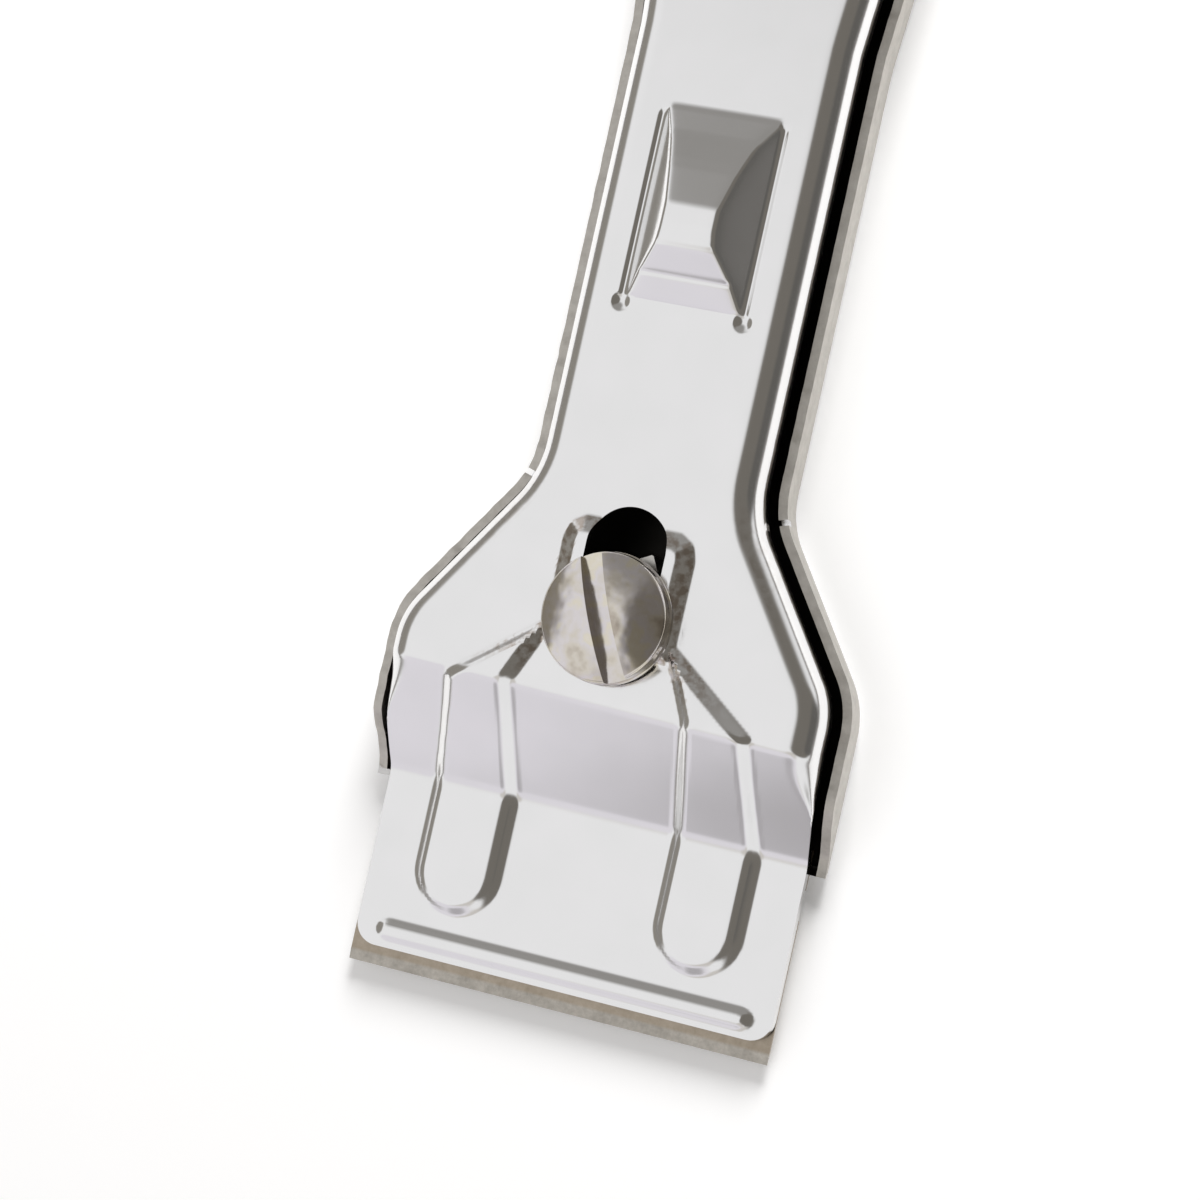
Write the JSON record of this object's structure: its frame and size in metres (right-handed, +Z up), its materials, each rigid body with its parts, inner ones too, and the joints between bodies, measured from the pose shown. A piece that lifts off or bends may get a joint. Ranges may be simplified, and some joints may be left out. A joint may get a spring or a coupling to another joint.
{
  "type": "algae scraper",
  "caption": "Flat hand scraper of plated steel: a channel handle carries a razor blade, and a sliding stamped cover with a thumb rest guards its edge and is clamped by a slotted screw.",
  "frame": {"origin": "centre of the bounding box in plan, on the underside of the tray's floor", "axes": "+Y along the handle away from the blade, +X to the right seen from above with the blade towards the viewer, +Z up through the cover"},
  "size_m": [0.0426, 0.145, 0.0128],
  "materials": {
    "plated_steel": "bright nickel-plated pressed sheet",
    "blade_steel": "ground carbon steel, lightly oiled",
    "spine_steel": "folded strip",
    "turned_steel": "turned, zinc-plated",
    "plated_screw": "bright nickel-plated"
  },
  "bodies": {
    "body": {"body_shell": "plated_steel", "blade": "blade_steel", "blade_spine": "spine_steel", "threaded_post": "turned_steel", "guide_rivet": "turned_steel", "guide_spacer": "turned_steel", "guide_washer": "plated_screw"},
    "cover": {"cover_plate": "plated_steel"},
    "washer": {"screw_washer": "plated_screw"},
    "screw": {"clamp_screw": "plated_screw"}
  },
  "joints": [
    {"name": "cover_slide", "type": "slide", "parent": "body", "child": "cover", "axis": [0, -1, 0], "range_m": [-0.002, 0.0061]},
    {"name": "screw_lift", "type": "slide", "parent": "body", "child": "washer", "axis": [0, 0, 1], "range_m": [0, 0.004]},
    {"name": "screw_turn", "type": "hinge", "parent": "washer", "child": "screw", "pos_m": [0, -0.039, 0.012], "axis": [0, 0, 1], "range_deg": [0, 1440]}
  ],
  "couplings": [
    {"joint": "screw_turn", "follows": "screw_lift", "rad_per_m": 6283.2}
  ]
}
